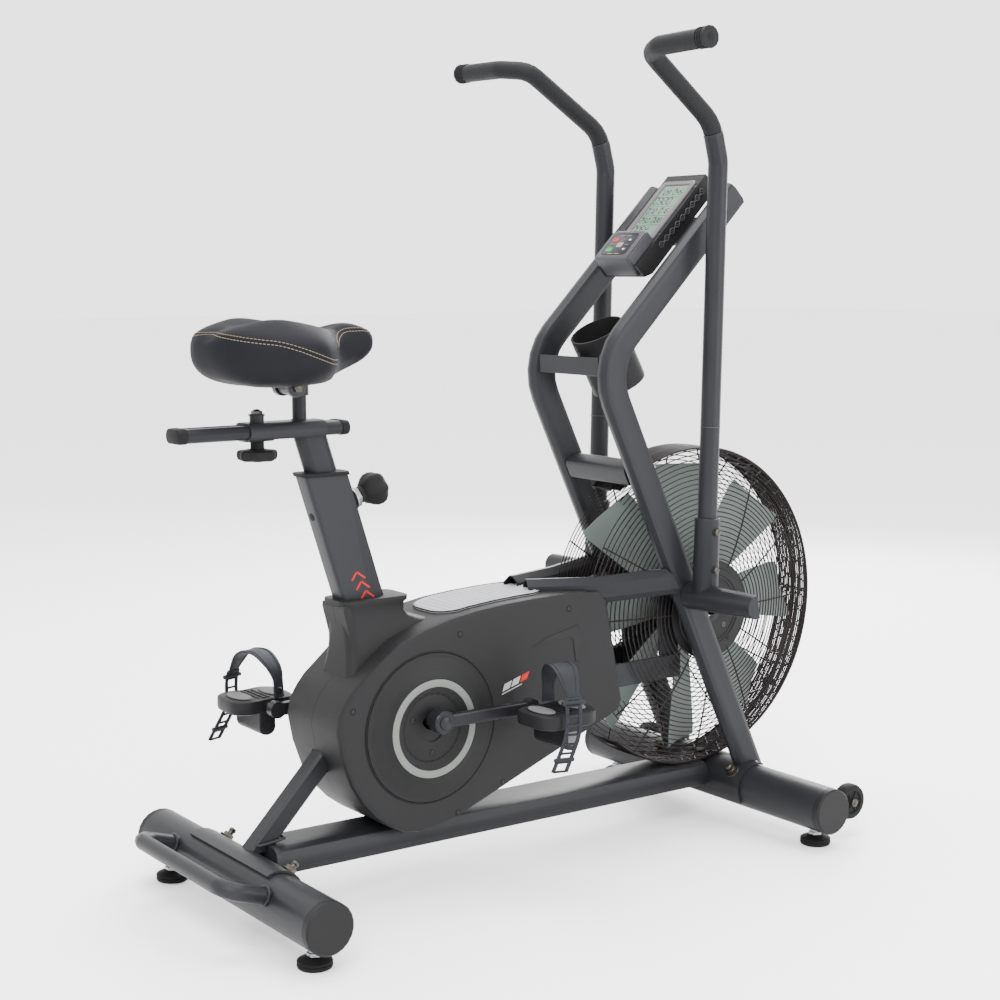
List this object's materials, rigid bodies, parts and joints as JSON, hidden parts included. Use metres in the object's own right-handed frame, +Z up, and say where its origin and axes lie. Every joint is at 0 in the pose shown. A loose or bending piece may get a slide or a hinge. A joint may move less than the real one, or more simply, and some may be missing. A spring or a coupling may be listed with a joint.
{
  "type": "air bike",
  "caption": "Upright air exercise bike with pedals, swinging arms, a caged front fan, an adjustable saddle, a console and a bottle holder on a dark tube frame.",
  "frame": {"origin": "on the floor, at the middle of the bike's length and width", "axes": "+X forwards, from the saddle to the fan; +Y to the rider's left; +Z up"},
  "size_m": [1.246, 0.6276, 1.2992],
  "materials": {
    "frame_paint": "satin charcoal powder coat with a fine texture",
    "housing_plastic": "matte dark grey moulded plastic",
    "disc_plastic": "dark grey moulded plastic with a silver-grey ring",
    "black_rubber": "matte black rubber",
    "dark_steel": "darkened machined steel",
    "wire_coating": "black coated steel wire",
    "blade_plastic": "grey-green fan blades",
    "saddle_vinyl": "charcoal vinyl with beige stitching",
    "grip_foam": "black foam grip",
    "pedal_plastic": "black moulded pedal with light grey inserts",
    "lcd_screen": "pale green liquid crystal display",
    "key_red": "red key",
    "key_green": "green key",
    "key_white": "white arrow key",
    "key_silver": "silver key"
  },
  "bodies": {
    "frame": {"rear_stabiliser": "frame_paint", "front_stabiliser": "frame_paint", "rear_end_cap_left": "housing_plastic", "rear_end_cap_right": "housing_plastic", "front_end_cap_left": "housing_plastic", "front_end_cap_right": "housing_plastic", "base_beam": "frame_paint", "mast_left": "frame_paint", "mast_right": "frame_paint", "lower_crossbar": "frame_paint", "upper_crossbar": "frame_paint", "side_tube_left": "frame_paint", "side_tube_right": "frame_paint", "seat_tube": "frame_paint", "seat_tube_bushing": "black_rubber", "housing_cover_left": "housing_plastic", "housing_cover_right": "housing_plastic", "cover_disc_left": "disc_plastic", "cover_disc_right": "disc_plastic", "drive_belt": "black_rubber", "fan_axle": "dark_steel", "fan_guard_left": "wire_coating", "fan_guard_right": "wire_coating", "bottle_cage": "housing_plastic", "console_bracket": "frame_paint", "console_housing": "housing_plastic", "console_screen": "lcd_screen"},
    "crank": {"crank_axle": "dark_steel", "crank_arm_left": "dark_steel", "crank_arm_right": "dark_steel"},
    "pedal_right": {"pedal_right": "pedal_plastic", "pedal_strap_right": "black_rubber"},
    "pedal_left": {"pedal_left": "pedal_plastic", "pedal_strap_left": "black_rubber"},
    "fan": {"fan_wheel": "blade_plastic"},
    "arm_right": {"arm_bracket_right": "frame_paint", "arm_tube_right": "frame_paint", "arm_grip_right": "grip_foam"},
    "arm_left": {"arm_bracket_left": "frame_paint", "arm_tube_left": "frame_paint", "arm_grip_left": "grip_foam"},
    "push_rod_right": {"push_rod_right": "frame_paint"},
    "push_rod_left": {"push_rod_left": "frame_paint"},
    "seat_post": {"seat_post": "frame_paint"},
    "saddle_carriage": {"saddle_carriage": "frame_paint"},
    "saddle": {"saddle": "saddle_vinyl", "saddle_clamp": "dark_steel"},
    "clamp_knob": {"clamp_knob": "black_rubber"},
    "pop_pin": {"pop_pin": "black_rubber"},
    "rear_foot_right": {"rear_foot_right": "black_rubber"},
    "rear_foot_left": {"rear_foot_left": "black_rubber"},
    "front_foot_right": {"front_foot_right": "black_rubber"},
    "front_foot_left": {"front_foot_left": "black_rubber"},
    "transport_wheel_right": {"transport_wheel_right": "black_rubber"},
    "transport_wheel_left": {"transport_wheel_left": "black_rubber"},
    "key_red": {"key_red": "key_red"},
    "key_green": {"key_green": "key_green"},
    "key_up": {"key_up": "key_white"},
    "key_down": {"key_down": "key_white"},
    "key_centre": {"key_centre": "key_silver"}
  },
  "joints": [
    {"name": "crank_spin", "type": "hinge", "parent": "frame", "child": "crank", "pos_m": [-0.226, 0, 0.276], "axis": [0, 1, 0], "continuous": true},
    {"name": "pedal_right_spin", "type": "hinge", "parent": "crank", "child": "pedal_right", "pos_m": [-0.063, -0.176, 0.276], "axis": [0, 1, 0], "continuous": true},
    {"name": "pedal_left_spin", "type": "hinge", "parent": "crank", "child": "pedal_left", "pos_m": [-0.389, 0.176, 0.276], "axis": [0, 1, 0], "continuous": true},
    {"name": "fan_spin", "type": "hinge", "parent": "frame", "child": "fan", "pos_m": [0.349, 0, 0.3765], "axis": [0, 1, 0], "continuous": true},
    {"name": "arm_right_swing", "type": "hinge", "parent": "frame", "child": "arm_right", "pos_m": [0.2725, -0.14, 0.4146], "axis": [0, 1, 0], "range_deg": [-12, 12]},
    {"name": "arm_left_swing", "type": "hinge", "parent": "frame", "child": "arm_left", "pos_m": [0.2725, 0.14, 0.4146], "axis": [0, 1, 0], "range_deg": [-12, 12]},
    {"name": "rod_right_pivot", "type": "hinge", "parent": "arm_right", "child": "push_rod_right", "pos_m": [0.28, -0.0535, 0.285], "axis": [0, 1, 0], "range_deg": [-12, 12]},
    {"name": "rod_left_pivot", "type": "hinge", "parent": "arm_left", "child": "push_rod_left", "pos_m": [0.28, 0.0535, 0.285], "axis": [0, 1, 0], "range_deg": [-12, 12]},
    {"name": "seat_post_slide", "type": "slide", "parent": "frame", "child": "seat_post", "axis": [-0.309, 0, 0.9511], "range_m": [-0.03, 0.14]},
    {"name": "saddle_carriage_slide", "type": "slide", "parent": "seat_post", "child": "saddle_carriage", "axis": [1, 0, 0], "range_m": [-0.09, 0.025]},
    {"name": "saddle_tilt", "type": "hinge", "parent": "saddle_carriage", "child": "saddle", "pos_m": [-0.4205, 0, 0.7815], "axis": [0, 1, 0], "range_deg": [-10, 10]},
    {"name": "clamp_knob_turn", "type": "hinge", "parent": "saddle_carriage", "child": "clamp_knob", "pos_m": [-0.4735, 0, 0.7185], "axis": [0, 0, 1], "range_deg": [-720, 0]},
    {"name": "pop_pin_pull", "type": "slide", "parent": "frame", "child": "pop_pin", "axis": [0.9511, 0, 0.309], "range_m": [0, 0.01], "stiffness_N_per_m": 500, "springref_m": -0.01},
    {"name": "rear_foot_right_turn", "type": "hinge", "parent": "frame", "child": "rear_foot_right", "pos_m": [-0.517, -0.219, 0], "axis": [0, 0, 1], "range_deg": [-180, 180]},
    {"name": "rear_foot_left_turn", "type": "hinge", "parent": "frame", "child": "rear_foot_left", "pos_m": [-0.517, 0.219, 0], "axis": [0, 0, 1], "range_deg": [-180, 180]},
    {"name": "front_foot_right_turn", "type": "hinge", "parent": "frame", "child": "front_foot_right", "pos_m": [0.425, -0.254, 0], "axis": [0, 0, 1], "range_deg": [-180, 180]},
    {"name": "front_foot_left_turn", "type": "hinge", "parent": "frame", "child": "front_foot_left", "pos_m": [0.425, 0.254, 0], "axis": [0, 0, 1], "range_deg": [-180, 180]},
    {"name": "transport_wheel_right_spin", "type": "hinge", "parent": "frame", "child": "transport_wheel_right", "pos_m": [0.502, -0.255, 0.059], "axis": [0, 1, 0], "continuous": true},
    {"name": "transport_wheel_left_spin", "type": "hinge", "parent": "frame", "child": "transport_wheel_left", "pos_m": [0.502, 0.255, 0.059], "axis": [0, 1, 0], "continuous": true},
    {"name": "key_red_press", "type": "slide", "parent": "frame", "child": "key_red", "axis": [0.7071, 0, -0.7071], "range_m": [0, 0.0012], "stiffness_N_per_m": 400, "springref_m": -0.0005},
    {"name": "key_green_press", "type": "slide", "parent": "frame", "child": "key_green", "axis": [0.7071, 0, -0.7071], "range_m": [0, 0.0012], "stiffness_N_per_m": 400, "springref_m": -0.0005},
    {"name": "key_up_press", "type": "slide", "parent": "frame", "child": "key_up", "axis": [0.7071, 0, -0.7071], "range_m": [0, 0.0012], "stiffness_N_per_m": 400, "springref_m": -0.0005},
    {"name": "key_down_press", "type": "slide", "parent": "frame", "child": "key_down", "axis": [0.7071, 0, -0.7071], "range_m": [0, 0.0012], "stiffness_N_per_m": 400, "springref_m": -0.0005},
    {"name": "key_centre_press", "type": "slide", "parent": "frame", "child": "key_centre", "axis": [0.7071, 0, -0.7071], "range_m": [0, 0.0012], "stiffness_N_per_m": 400, "springref_m": -0.0005}
  ],
  "couplings": [
    {"joint": "fan_spin", "follows": "crank_spin", "ratio": 2.875},
    {"joint": "arm_left_swing", "follows": "arm_right_swing", "ratio": -1},
    {"joint": "rod_right_pivot", "follows": "arm_right_swing", "ratio": -1},
    {"joint": "rod_left_pivot", "follows": "arm_right_swing", "ratio": 1}
  ]
}
